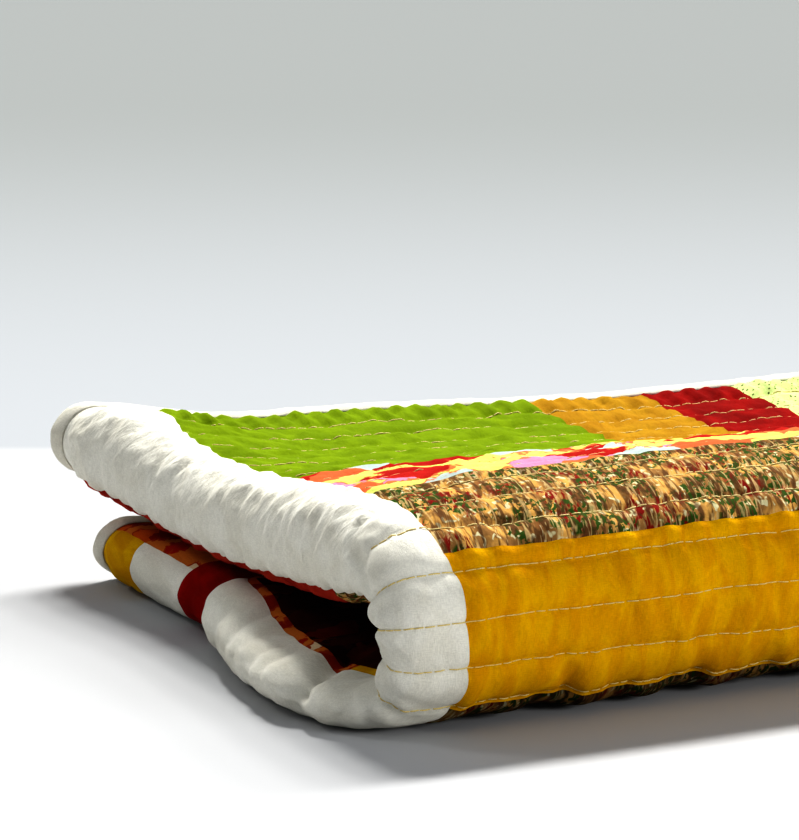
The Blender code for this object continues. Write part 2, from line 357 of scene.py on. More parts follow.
# Creases of the first fold, as lines over the sheet. A negative depth is a ridge.
# Columns: u from, girth from, u to, girth to, depth, width.
CREASES = (
    (10.0, -108.0, -5.0, -100.0, 4.6, 6.0),
    (-5.0, -100.0, -28.0, -100.0, 6.5, 6.0),
    (-28.0, -100.0, -54.0, -119.0, 6.5, 6.0),
    (6.0, -128.0, -40.0, -120.0, -1.6, 9.0),
    (8.0, 58.0, -4.0, 31.0, 2.6, 4.5),
    (20.0, 66.0, 30.0, 50.0, 1.2, 6.0),
    (-2.0, 12.0, 14.0, 16.0, 1.8, 4.5),
    (-6.0, -12.0, 16.0, -16.0, 1.6, 4.0),
    (2.0, -34.0, 34.0, -46.0, 1.8, 3.5),
    (-2.0, -43.0, 34.0, -58.0, 2.0, 3.5),
    (-6.0, -54.0, 28.0, -70.0, 2.0, 3.5),
    (-8.0, -66.0, 22.0, -84.0, 1.8, 4.0),
    (24.0, -128.0, -34.0, -136.0, 1.6, 5.0),
    (20.0, -158.0, -36.0, -150.0, 1.2, 6.0),
    (14.0, -188.0, -36.0, -196.0, 1.5, 5.0),
    (14.0, -222.0, -30.0, -214.0, 1.3, 6.0),
    (-10.0, -250.0, 20.0, -256.0, 2.0, 4.0),
)


def creases(u, g):
    """Soft troughs and ridges along the listed lines."""
    total = np.zeros(np.shape(u))
    for u_a, g_a, u_b, g_b, depth, width in CREASES:
        along_u = u_b - u_a
        along_g = g_b - g_a
        share = ((u - u_a) * along_u + (g - g_a) * along_g) / (along_u ** 2 + along_g ** 2)
        held = np.clip(share, 0.0, 1.0)
        away = np.hypot(u - u_a - held * along_u, g - g_a - held * along_g)
        total -= depth * np.exp(-(away / width) ** 2)
    return total


def zones(u, g):
    """How much each place belongs to the named zones of the face, from 0 to 1."""
    away = np.abs(u)
    in_loop = bump(away, 0.0, STRIP - 2.0, 8.0)
    on_top = smooth_step(g, 34.0, 62.0)
    below = smooth_step(-g, 40.0, 75.0)
    return {
        "all": 1.0,
        "on_top": on_top,
        "loop_top": in_loop * on_top,
        "loop_bottom": in_loop * below,
        "hump": bump(away, 0.0, 45.0, 12.0) * below,
        "mouth": bump(u, -60.0, -6.0, 12.0) * bump(g, -50.0, 30.0, 20.0),
        "roll": bump(g, -60.0, 40.0, 20.0) * (1.0 - in_loop),
        "flat_top": smooth_step(g, 100.0, 150.0) * (1.0 - in_loop),
        "tucks": bump(away, 0.0, 45.0, 30.0) * below,
        "front": in_loop * bump(g, -75.0, 20.0, 25.0),
        "back_edge": bump(g, 356.0, 374.0, 10.0) * (1.0 - in_loop),
    }


def relief(u, g):
    """Height of the quilt's face over its plain fold, in millimetres."""
    zone = zones(u, g)
    nearest = np.round(g / ROW_PITCH) * ROW_PITCH
    off_row = np.abs(g - nearest)
    share = np.clip(off_row / (0.5 * ROW_PITCH), 0.0, 1.0)
    depth = FRONT_DEPTH + (TOP_DEPTH - FRONT_DEPTH) * zone["on_top"]
    depth = depth + (LOOP_TOP_DEPTH - depth) * zone["loop_top"]
    depth = depth + (HUMP_DEPTH - depth) * zone["hump"]
    depth = depth + (MOUTH_DEPTH - depth) * zone["mouth"]
    depth = depth * (1.0 + ROW_UNEVEN * wander(u, nearest, *ROW_UNEVEN_SIZE, 3))
    nick = np.exp(-off_row / NICK_WIDTH)
    height = -depth * (BROAD_SHARE * (1.0 - share) ** BROAD_POWER + NICK_SHARE * nick)
    zone["puckers"] = np.exp(-off_row / PUCKER_REACH) * (1.0 - zone["loop_bottom"])
    height += PUFF_HEIGHT * zone["flat_top"] * share * wander(u, nearest, *PUFF_SIZE, 43)
    for name, size, slant_u, slant_g, size_u, size_g, seed in LUMPS:
        lumps = wander(u + slant_u * g, g + slant_g * u, size_u, size_g, seed)
        height += size * zone[name] * lumps
    height += creases(u, g)
    drift = EDGE_BUMP_DRIFT * wander(u, g, *EDGE_DRIFT_SIZE, 61)
    scallop = 0.5 + 0.5 * np.sin(2.0 * math.pi * u / EDGE_BUMP + drift)
    height += EDGE_BUMP_HEIGHT * scallop * zone["back_edge"]
    for seams, across, along in ((U_SEAMS, u, g), (G_SEAMS, g, u)):
        for at, low, high in seams:
            held = bump(along, low, high, SEAM_END_SOFT)
            height -= SEAM_DEPTH * held * np.exp(-((across - at) / SEAM_WIDTH) ** 2)
    from_rim = np.maximum(np.abs(u) - SHEET_END, np.abs(g) - HALF_WIDTH)
    flat_hem = smooth_step(from_rim, -HEM_WIDTH - HEM_TAPER, -HEM_WIDTH)
    return height * (1.0 - flat_hem) - ROW_DEPTH * flat_hem


# How far the strip's outer seam wanders at the front and at the back, and how wide a band
# of the cloth goes with it.
FRONT_SHIFT = 5.0
BACK_SHIFT = 14.0
SHIFT_WIDTH = 22.0


def settled(u, g):
    """Where the cloth's strip seam wanders along the first fold."""
    at_front = (1.0 - smooth_step(g, 15.0, 45.0)) * smooth_step(g, -80.0, -30.0)
    at_back = smooth_step(g, 300.0, HALF_WIDTH)
    shift = FRONT_SHIFT * at_front + BACK_SHIFT * at_back
    return u + shift * np.exp(-((u - STRIP) / SHIFT_WIDTH) ** 2)


def quilt_surface(u, g, lift=0.0):
    """Points on the quilt's face, lifted off it by the given millimetres."""
    points = fold(settled(u, g), g, -relief(u, g) - lift)
    points[..., 2] = np.maximum(points[..., 2], FLOOR_CLEARANCE)
    return points


# Meshes

def with_marks(lines, marks, clear):
    """Grid lines that also pass exactly through the marks."""
    kept = [v for v in lines if all(abs(v - mark) >= clear for mark in marks)]
    return np.array(sorted(kept + list(marks)))


def spaced(start, end, step):
    count = max(int(round(abs(end - start) / step)), 1)
    return list(np.linspace(start, end, count + 1))


def grid_ids(rows, columns, first):
    return first + np.arange(rows * columns).reshape(rows, columns)


def grid_quads(ids):
    quads = np.stack((ids[:-1, :-1], ids[1:, :-1], ids[1:, 1:], ids[:-1, 1:]), axis=-1)
    return quads.reshape(-1, 4)


def zipped(ids_a, at_a, ids_b, at_b):
    """Triangles between two lines of points, each in the order of its place."""
    result = []
    i = 0
    j = 0
    while i < len(ids_a) - 1 or j < len(ids_b) - 1:
        step_a = j == len(ids_b) - 1
        if i < len(ids_a) - 1 and j < len(ids_b) - 1:
            step_a = at_a[i + 1] <= at_b[j + 1]
        if step_a:
            result.append((ids_a[i], ids_a[i + 1], ids_b[j]))
            i += 1
        else:
            result.append((ids_a[i], ids_b[j + 1], ids_b[j]))
            j += 1
    return result


def new_piece(name, points, faces, places, materials, material_ids=None):
    """Mesh object from the given faces, with the cloth's own coordinates as its map."""
    data = bpy.data.meshes.new(name)
    data.from_pydata([tuple(p) for p in points], [], [tuple(f) for f in faces])
    data.update()
    for material in materials:
        data.materials.append(material)
    if material_ids is not None:
        data.polygons.foreach_set("material_index", np.array(material_ids, np.int32))
    corners = np.zeros(len(data.loops), np.int32)
    data.loops.foreach_get("vertex_index", corners)
    layer = data.uv_layers.new(name="cloth")
    layer.uv.foreach_set("vector", (np.asarray(places)[corners] * MM).ravel())
    data.shade_smooth()
    piece = bpy.data.objects.new(name, data)
    bpy.context.scene.collection.objects.link(piece)
    return piece


def facing_out(points, faces):
    """The faces of a closed mesh, turned over together if they face inwards."""
    volume = 0.0
    for face in faces:
        a = points[face[0]]
        for i in range(1, len(face) - 1):
            volume += np.dot(a, np.cross(points[face[i]], points[face[i + 1]]))
    if volume < 0.0:
        return [tuple(face)[::-1] for face in faces]
    return [tuple(face) for face in faces]


def patch_at(u, g):
    for name, u_low, u_high, g_low, g_high in PATCHES:
        if u_low <= u < u_high and g_low <= g < g_high:
            return CLOTHS.index(name)
    return CLOTHS.index("white")


# Grid steps: along the face's outer layers, round the loop, in the mouth and deep inside.
FINE_U = 2.8
LOOP_U = 2.4
MOUTH_U = 3.0
DEEP_U = 9.0
MOUTH_END = 140.0
FINE_G = 2.5

# Grid steps of the hidden inner side, along the layers and round the loop.
BACK_U = 30.0
BACK_LOOP_U = 9.0

# How near a grid line may lie to a seam or to the hem.
U_CLEAR = 1.2
G_CLEAR = 1.0
HEM_CLEAR = 0.5


def face_lines():
    """Grid lines of the quilt's face in u and in g, with one on every seam."""
    hem = SHEET_END - HEM_WIDTH
    u_lines = spaced(hem, LOOP_HALF, FINE_U) + spaced(LOOP_HALF, -LOOP_HALF, LOOP_U)[1:]
    u_lines += spaced(-LOOP_HALF, -MOUTH_END, MOUTH_U)[1:]
    u_lines += spaced(-MOUTH_END, -hem, DEEP_U)[1:]
    u_lines = with_marks(u_lines, sorted({row[0] for row in U_SEAMS}), U_CLEAR)
    u_lines = np.concatenate(([-SHEET_END], u_lines, [SHEET_END]))
    limit = HALF_WIDTH - HEM_WIDTH
    steps = int(limit // FINE_G)
    g_lines = [step * FINE_G for step in range(-steps, steps + 1)]
    g_lines = with_marks(g_lines, sorted({row[0] for row in G_SEAMS}), G_CLEAR)
    g_lines = g_lines[np.abs(g_lines) < limit - HEM_CLEAR]
    g_lines = np.concatenate(([-HALF_WIDTH, -limit], g_lines, [limit, HALF_WIDTH]))
    return u_lines, g_lines


def back_lines():
    """Grid lines of the quilt's inner side: a row's bottom and its two shoulders."""
    u_lines = spaced(-SHEET_END, -LOOP_HALF, BACK_U)
    u_lines += spaced(-LOOP_HALF, LOOP_HALF, BACK_LOOP_U)[1:]
    u_lines += spaced(LOOP_HALF, SHEET_END, BACK_U)[1:]
    limit = HALF_WIDTH - HEM_WIDTH
    shoulder = 0.25 * ROW_PITCH
    g_lines = []
    for row in range(-ROWS_EACH_SIDE, ROWS_EACH_SIDE + 1):
        for offset in (-shoulder, 0.0, shoulder):
            g_lines.append(row * ROW_PITCH + offset)
    g_lines = [g for g in g_lines if abs(g) < limit - HEM_CLEAR]
    g_lines = [-HALF_WIDTH, -limit] + g_lines + [limit, HALF_WIDTH]
    return np.array(u_lines), np.array(g_lines)


def back_surface(u_lines, g_lines):
    """Places and points of the quilt's inner side."""
    off_row = np.abs(g_lines - np.round(g_lines / ROW_PITCH) * ROW_PITCH)
    on_row = off_row < G_CLEAR
    on_hem = np.abs(g_lines) > HALF_WIDTH - HEM_WIDTH - G_CLEAR
    row_depth = np.where(on_row | on_hem, ROW_DEPTH, 0.0)
    u_grid, g_grid = np.meshgrid(u_lines, g_lines, indexing="ij")
    depth = np.broadcast_to(row_depth, u_grid.shape).copy()
    depth[[0, -1], :] = ROW_DEPTH
    places = np.stack((u_grid, g_grid), axis=-1)
    return places, fold(u_grid, g_grid, LAYER_THICKNESS - depth)


def quilt_cloth(materials):
    """The whole quilt as one closed sheet, fine on its face and coarse inside."""
    u_fine, g_fine = face_lines()
    u_grid, g_grid = np.meshgrid(u_fine, g_fine, indexing="ij")
    face = quilt_surface(u_grid, g_grid)
    u_coarse, g_coarse = back_lines()
    back_places, back = back_surface(u_coarse, g_coarse)

    points = np.concatenate((face.reshape(-1, 3), back.reshape(-1, 3)))
    places = np.concatenate((np.stack((u_grid, g_grid), axis=-1).reshape(-1, 2),
                             back_places.reshape(-1, 2)))
    face_ids = grid_ids(len(u_fine), len(g_fine), 0)
    back_ids = grid_ids(len(u_coarse), len(g_coarse), face_ids.size)
    face_quads = grid_quads(face_ids)
    back_quads = grid_quads(back_ids)[:, ::-1]
    edge = []
    for sign, line_a, at_a, line_b, at_b in (
            (1, face_ids[0], g_fine, back_ids[0], g_coarse),
            (-1, face_ids[-1], g_fine, back_ids[-1], g_coarse),
            (-1, face_ids[:, 0], u_fine, back_ids[:, 0], u_coarse),
            (1, face_ids[:, -1], u_fine, back_ids[:, -1], u_coarse)):
        triangles = zipped(line_a, at_a, line_b, at_b)
        edge += [t if sign < 0 else t[::-1] for t in triangles]
    patch_u = 0.5 * (u_fine[:-1] + u_fine[1:])
    patch_g = 0.5 * (g_fine[:-1] + g_fine[1:])
    patches = [patch_at(u, g) for u in patch_u for g in patch_g]
    patches += [CLOTHS.index("backing")] * len(back_quads)
    patches += [CLOTHS.index("white")] * len(edge)
    faces = facing_out(points, list(face_quads) + list(back_quads) + edge)
    return new_piece("quilt_cloth", points, faces, places, materials, patches)


# Stitches

STITCH_PITCH = 5.9
STITCH_LENGTH = 5.7
THREAD_RADIUS = 0.33
THREAD_SIDES = 5

# Map width of one side of the thread.
THREAD_MAP_STEP = 0.4

# Small steps along and off the cloth that give a stitch its direction.
ALONG_STEP = 0.3
OFF_STEP = 3.0

# How uneven the stitches are: start, length, slant and bow, and the rows' own wandering.
START_SPREAD = 0.35
LENGTH_SPREAD = (0.88, 1.1)
SLANT_SPREAD = 0.35
BOW_SPREAD = (0.75, 1.2)
ROW_WANDER = 0.6
ROW_WANDER_SIZE = (40.0, 11.0)

# Sections of a stitch. Columns: share of its length, height over the cloth.
STITCH_SECTIONS = ((0.0, -0.6), (0.09, 0.1), (0.5, 0.36), (0.91, 0.1), (1.0, -0.6))

# Where stitches are made. Columns: u from, u to, girth from, girth to.
STITCH_SPANS = ((-SHEET_END + 9.0, -430.0, -370.0, 370.0), (-14.0, 60.0, -370.0, 370.0),
                (60.0, SHEET_END - 9.0, -80.0, 370.0))

# On the strip no stitch is made past BURIED_FROM on either side, and before LOOP_ROW_END
# none above half of BURIED_FROM.
BURIED_FROM = 60.0
LOOP_ROW_END = 10.0


def is_stitched(at, row):
    in_span = any(low <= at < high and g_low < row < g_high
                  for low, high, g_low, g_high in STITCH_SPANS)
    on_strip = abs(at) < STRIP and abs(row) > BURIED_FROM
    in_mouth = at < LOOP_ROW_END and row > 0.5 * BURIED_FROM
    return in_span and not on_strip and not in_mouth


def stitch_starts(rng):
    """Start in u and row in g of every stitch."""
    starts = []
    rows = []
    for number in range(-ROWS_EACH_SIDE, ROWS_EACH_SIDE + 1):
        row = number * ROW_PITCH
        at = -SHEET_END + rng.uniform(0.0, STITCH_PITCH)
        while at < SHEET_END - STITCH_PITCH:
            if is_stitched(at, row):
                starts.append(at + rng.uniform(-START_SPREAD, START_SPREAD))
                rows.append(row)
            at += STITCH_PITCH
    return np.array(starts), np.array(rows)


def unit(vectors):
    return vectors / np.linalg.norm(vectors, axis=-1, keepdims=True)


def tube_faces(first, sections):
    """Faces of one closed thread whose points start at the first number."""
    faces = []
    for section in range(sections - 1):
        base = first + section * THREAD_SIDES
        for side in range(THREAD_SIDES):
            a = base + side
            b = base + (side + 1) % THREAD_SIDES
            faces.append((a, b, b + THREAD_SIDES, a + THREAD_SIDES))
    end = first + (sections - 1) * THREAD_SIDES
    faces.append(list(range(first, first + THREAD_SIDES))[::-1])
    faces.append(list(range(end, end + THREAD_SIDES)))
    return faces


def stitches(thread):
    """Running stitches along all quilting rows, as short bowed lengths of thread."""
    rng = np.random.default_rng(23)
    starts, rows = stitch_starts(rng)
    count = len(starts)
    lengths = STITCH_LENGTH * rng.uniform(*LENGTH_SPREAD, count)
    slant = rng.uniform(-SLANT_SPREAD, SLANT_SPREAD, count)
    bow = rng.uniform(*BOW_SPREAD, count)
    shares, lifts = np.array(STITCH_SECTIONS).T
    u = starts[:, None] + lengths[:, None] * shares[None, :]
    g = rows[:, None] + slant[:, None] * (shares[None, :] - 0.5)
    g = g + ROW_WANDER * wander(u, g, *ROW_WANDER_SIZE, 29)
    lift = lifts[None, :] * bow[:, None]
    centre = quilt_surface(u, g, lift)
    along = unit(quilt_surface(u + ALONG_STEP, g, lift) - quilt_surface(u - ALONG_STEP, g, lift))
    up = unit(fold(u, g, -OFF_STEP) - fold(u, g, 0.0))
    side = unit(np.cross(along, up))
    up = np.cross(side, along)
    angles = 2.0 * math.pi * np.arange(THREAD_SIDES) / THREAD_SIDES
    radius = THREAD_RADIUS * MM
    rings = (centre[:, :, None, :]
             + radius * np.cos(angles)[None, None, :, None] * side[:, :, None, :]
             + radius * np.sin(angles)[None, None, :, None] * up[:, :, None, :])
    map_g = g[:, :, None] + np.arange(THREAD_SIDES) * THREAD_MAP_STEP
    places = np.stack((np.broadcast_to(u[:, :, None], rings.shape[:3]), map_g), axis=-1)
    sections = len(STITCH_SECTIONS)
    faces = []
    for item in range(count):
        faces += tube_faces(item * sections * THREAD_SIDES, sections)
    return new_piece("quilting_thread", rings.reshape(-1, 3), faces, places.reshape(-1, 2),
                     [thread])


# Bindings

BINDING_STEP = 4.0
CROWN_POINTS = 7

# How the binding rises from its sewn edge. Columns: distance from the edge, height as a
# share of the cloth's thickness.
BINDING_RISE = ((0.0, 0.2), (1.2, 0.7), (4.5, 1.25))

# Uneven surface of the binding, and the most that it may dip below the plain section.
RIPPLE_HEIGHT = 0.35
RIPPLE_SIZE = (7.0, 30.0)
SWELL_HEIGHT = 0.5
SWELL_SIZE = (26.0, 9.0)
SWELL_SHARE = 0.3
FACE_DIP = 0.15
EDGE_DIP = 0.2
EDGE_BAND = 3.0


def binding_profile(rim, sign):
    """Rounded section of the binding over a rim: (distance, depth) outside and inside."""
    start = rim - sign * HEM_WIDTH
    near = ROW_DEPTH - BINDING_GAP
    far = LAYER_THICKNESS - near
    edge = rim + sign * BINDING_GAP
    middle = 0.5 * LAYER_THICKNESS
    half = 0.5 * (far - near) + BINDING_CLOTH
    rise = [(start + sign * reach, BINDING_CLOTH * share) for reach, share in BINDING_RISE]
    outside = [(at, near - height) for at, height in rise]
    for number in range(CROWN_POINTS):
        angle = math.pi * number / (CROWN_POINTS - 1)
        reach = (BINDING_CLOTH + BINDING_CROWN) * math.sin(angle)
        outside.append((edge + sign * reach, middle - half * math.cos(angle)))
    outside += [(at, far + height) for at, height in rise[::-1]]
    inside = [(start, near), (edge, near), (edge, middle), (edge, far), (start, far)]
    return outside, inside


def binding_surface(section, along, rim, sign, end_edge, live):
    """Points and places of one side of a binding. The live side is the uneven one."""
    across = np.array([item[0] for item in section])
    depth = np.array([item[1] for item in section])
    a_grid, c_grid = np.meshgrid(along, across, indexing="ij")
    d_grid = np.broadcast_to(depth, a_grid.shape)
    if live:
        ripple = RIPPLE_HEIGHT * wander(a_grid, c_grid, *RIPPLE_SIZE, 31 + int(abs(rim)))
        swell = SWELL_HEIGHT * wander(a_grid, np.zeros_like(c_grid), *SWELL_SIZE, 37)
        toward = np.where(d_grid < 0.5 * LAYER_THICKNESS, -1.0, 1.0)
        d_grid = d_grid + toward * np.maximum(ripple + SWELL_SHARE * swell, -FACE_DIP)
        at_edge = np.abs(c_grid - rim) < EDGE_BAND
        c_grid = c_grid + sign * np.maximum(swell * at_edge, -EDGE_DIP)
    if end_edge:
        points = fold(c_grid, a_grid, d_grid)
        places = np.stack((c_grid, a_grid), axis=-1)
    else:
        points = fold(a_grid, c_grid, d_grid)
        places = np.stack((a_grid, c_grid + d_grid), axis=-1)
    points[..., 2] = np.maximum(points[..., 2], FLOOR_CLEARANCE)
    return points.reshape(-1, 3), places.reshape(-1, 2)


def binding(name, node, along, rim, sign, end_edge, material):
    """Binding along a side edge (rim in g) or an end edge (rim in u) of the sheet."""
    outside, inside = binding_profile(rim, sign)
    outer, outer_places = binding_surface(outside, along, rim, sign, end_edge, True)
    inner, inner_places = binding_surface(inside, along, rim, sign, end_edge, False)
    points = np.concatenate((outer, inner))
    places = np.concatenate((outer_places, inner_places))
    outer_ids = grid_ids(len(along), len(outside), 0)
    inner_ids = grid_ids(len(along), len(inside), outer_ids.size)
    faces = [tuple(f) for f in grid_quads(outer_ids)]
    faces += [tuple(f)[::-1] for f in grid_quads(inner_ids)]
    for i in range(len(along) - 1):
        faces.append((outer_ids[i, 0], inner_ids[i, 0], inner_ids[i + 1, 0], outer_ids[i + 1, 0]))
        faces.append((outer_ids[i, -1], outer_ids[i + 1, -1], inner_ids[i + 1, -1],
                      inner_ids[i, -1]))
    faces.append(tuple(outer_ids[0]) + tuple(inner_ids[0][::-1]))
    faces.append(tuple(outer_ids[-1][::-1]) + tuple(inner_ids[-1]))
    piece = new_piece(name, points, facing_out(points, faces), places, [material])
    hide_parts(node)
    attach(piece, "root")
    return piece


# Materials

def linear(red, green, blue):
    """Colour for a shader from the 0 to 255 values that a picture shows (sRGB curve)."""
    result = []
    for value in (red, green, blue):
        value = value / 255.0
        if value <= 0.04045:
            result.append(value / 12.92)
        else:
            result.append(((value + 0.055) / 1.055) ** 2.4)
    return tuple(result) + (1.0,)


def grey(level):
    return (level, level, level, 1.0)


# Surface of the cottons: size of the slubs in millimetres, where they show, the share of a
# colour that is left between them, scale of the weave, how much each layer lifts the
# surface, and how rough and glossy it is.
SLUB_SIZE = (0.5, 2.6)
SLUB_RANGE = (0.10, 0.42)
SLUB_DARK = 0.86
WEAVE_SCALE = 0.55
FINE_LIFT = 0.26
BROAD_LIFT = 0.5
SLUB_LIFT = 0.35
WEAVE_LIFT = 0.10
BUMP_STRENGTH = 0.9
ROUGHNESS = 0.82
UNEVEN_ROUGHNESS = 0.12
GLOSS = 0.03

# Sockets of the mix node when it mixes colours.
MIX_FACTOR = 0
MIX_FIRST = 6
MIX_SECOND = 7
MIX_RESULT = 2


class Tree:
    """Short way to add nodes to a material and link them."""

    def __init__(self, name):
        self.material = bpy.data.materials.new(name)
        self.material.use_nodes = True
        self.tree = self.material.node_tree
        self.shader = self.tree.nodes["Principled BSDF"]
        where = self.add("ShaderNodeUVMap")
        where.uv_map = "cloth"
        self.place = where.outputs["UV"]

    def add(self, kind, inputs=None, **settings):
        node = self.tree.nodes.new(kind)
        for key, value in settings.items():
            setattr(node, key, value)
        for key, value in (inputs or {}).items():
            self.put(node.inputs[key], value)
        return node

    def put(self, socket, value):
        if isinstance(value, bpy.types.NodeSocket):
            self.tree.links.new(value, socket)
        else:
            socket.default_value = value

    def math(self, operation, a, b=0.0, c=0.0):
        node = self.add("ShaderNodeMath", {0: a, 1: b, 2: c}, operation=operation)
        return node.outputs[0]

    def scaled(self, size_u, size_g, turn=0.0, shift=(0.0, 0.0)):
        """The cloth's map, turned and divided by sizes in millimetres."""
        turned = self.add("ShaderNodeVectorRotate", {"Vector": self.place, "Angle": turn},
                          rotation_type="Z_AXIS")
        scale = (1.0 / (size_u * MM), 1.0 / (size_g * MM), 1.0)
        node = self.add("ShaderNodeVectorMath", {0: turned.outputs[0], 1: scale,
                                                 2: (shift[0], shift[1], 0.0)},
                        operation="MULTIPLY_ADD")
        return node.outputs[0]

    def noise(self, size_u, size_g, turn=0.0, detail=2.0, rough=0.5, twist=0.0, shift=(0.0, 0.0)):
        node = self.add("ShaderNodeTexNoise",
                        {"Vector": self.scaled(size_u, size_g, turn, shift), "Scale": 1.0,
                         "Detail": detail, "Roughness": rough, "Distortion": twist})
        return node.outputs["Fac"]

    def ramp(self, value, low, high):
        """0 at low, 1 at high, smooth between. Low may be the larger one."""
        node = self.add("ShaderNodeMapRange", {"Value": value, "From Min": low, "From Max": high},
                        interpolation_type="SMOOTHSTEP")
        return node.outputs["Result"]

    def mix(self, share, first, second, blend="MIX"):
        node = self.add("ShaderNodeMix", data_type="RGBA", blend_type=blend)
        self.put(node.inputs[MIX_FACTOR], share)
        self.put(node.inputs[MIX_FIRST], first)
        self.put(node.inputs[MIX_SECOND], second)
        return node.outputs[MIX_RESULT]

    def darkened(self, colour, level):
        return self.mix(1.0, colour, grey(level), blend="MULTIPLY")

    def weave(self):
        """Height of a plain weave, 0 to 1."""
        bands = []
        for direction in "XY":
            wave = self.add("ShaderNodeTexWave",
                            {"Vector": self.scaled(1.0, 1.0), "Scale": WEAVE_SCALE,
                             "Distortion": 0.6, "Detail": 1.0, "Detail Scale": 2.0},
                            bands_direction=direction)
            bands.append(wave.outputs["Fac"])
        return self.math("MULTIPLY", *bands)

    def raised(self, height, **inputs):
        """Lets the height shape the surface as relief."""
        node = self.add("ShaderNodeBump", {"Height": height, **inputs})
        self.put(self.shader.inputs["Normal"], node.outputs["Normal"])

    def finish(self, colour, weave=0.5, wrinkle=1.0, grain=(3.2, 7.5), folds=(8.0, 17.0)):
        """Cotton: the colour with slubs and fine creases, and its weave as relief."""
        slub = self.noise(*SLUB_SIZE, detail=2.0)
        slub_across = self.noise(*SLUB_SIZE[::-1], detail=2.0, shift=(7.3, 3.1))
        both = self.math("MULTIPLY", slub, slub_across)
        tone = self.ramp(both, *SLUB_RANGE)
        darker = self.darkened(colour, SLUB_DARK)
        self.put(self.shader.inputs["Base Color"], self.mix(tone, darker, colour))
        fine = self.noise(*grain, turn=0.35, detail=3.0, twist=0.6)
        broad = self.noise(*folds, turn=-0.3, detail=2.0, twist=0.4, shift=(2.0, 9.0))
        height = self.math("MULTIPLY", fine, FINE_LIFT * wrinkle)
        height = self.math("MULTIPLY_ADD", broad, BROAD_LIFT * wrinkle, height)
        height = self.math("MULTIPLY_ADD", both, SLUB_LIFT * weave, height)
        height = self.math("MULTIPLY_ADD", self.weave(), WEAVE_LIFT * weave, height)
        self.raised(height, Distance=MM, Strength=BUMP_STRENGTH)
        uneven = self.math("MULTIPLY_ADD", fine, UNEVEN_ROUGHNESS, ROUGHNESS)
        self.put(self.shader.inputs["Roughness"], uneven)
        self.shader.inputs["Specular IOR Level"].default_value = GLOSS
        return self.material


def plain_cloth(name, main, second, size=(22.0, 30.0), turn=0.3, streak=0.0, **finish):
    """Hand-dyed cotton: colour wandering to a second one, darker streaks; on mustard, partly
    painted fold shade.
    """
    tree = Tree(name)
    patchy = tree.noise(*size, turn=turn, detail=3.0, rough=0.55, twist=0.8)
    colour = tree.mix(tree.ramp(patchy, 0.32, 0.68), linear(*main), linear(*second))
    if streak:
        fine = tree.noise(2.2, 16.0, turn=0.2, detail=2.0, twist=0.3)
        dark = tree.darkened(colour, 0.72)
        share = tree.math("MULTIPLY", tree.ramp(fine, 0.52, 0.72), streak)
        colour = tree.mix(share, colour, dark)
    return tree.finish(colour, **finish)


def print_layer(tree, colour, tint, share, strength=None):
    """The tint laid over a colour by its share, which a strength may weaken."""
    if strength is not None:
        share = tree.math("MULTIPLY", share, strength)
    return tree.mix(share, colour, linear(*tint))


def brown_print(name, tone=1.0):
    """Small busy print: ochre ground, dark green dots, dark red strokes, cream spots."""
    tree = Tree(name)
    ground = tree.noise(13.0, 22.0, turn=0.2, detail=3.0, twist=0.7)
    colour = print_layer(tree, linear(214, 166, 92), (150, 112, 66), tree.ramp(ground, 0.40, 0.54))
    cream = tree.noise(4.0, 6.0, detail=1.0, twist=0.8, shift=(11.0, 2.0))
    colour = print_layer(tree, colour, (216, 208, 166), tree.ramp(cream, 0.60, 0.66))
    strokes = tree.noise(2.6, 9.0, turn=0.25, detail=1.0, twist=0.9, shift=(3.0, 14.0))
    where = tree.noise(26.0, 30.0, detail=1.0, shift=(1.0, 5.0))
    colour = print_layer(tree, colour, (130, 28, 20), tree.ramp(strokes, 0.49, 0.54),
                         tree.ramp(where, 0.49, 0.57))
    dots = tree.noise(2.6, 4.6, turn=0.4, detail=1.0, twist=0.7, shift=(21.0, 8.0))
    where = tree.noise(24.0, 30.0, detail=2.0, shift=(9.0, 1.0))
    colour = print_layer(tree, colour, (58, 84, 30), tree.ramp(dots, 0.47, 0.52),
                         tree.ramp(where, 0.46, 0.50))
    streaks = tree.noise(2.8, 18.0, turn=0.12, detail=2.0, twist=0.7, shift=(5.0, 5.0))
    colour = print_layer(tree, colour, (90, 60, 36), tree.ramp(streaks, 0.47, 0.60), 0.8)
    light = tree.noise(2.0, 16.0, turn=0.15, detail=2.0, twist=0.7, shift=(15.0, 25.0))
    colour = print_layer(tree, colour, (212, 186, 132), tree.ramp(light, 0.55, 0.66), 0.6)
    # A tone below 1 darkens the whole print: painted shade, used for the print under the roll.
    return tree.finish(tree.darkened(colour, tone), wrinkle=2.2)


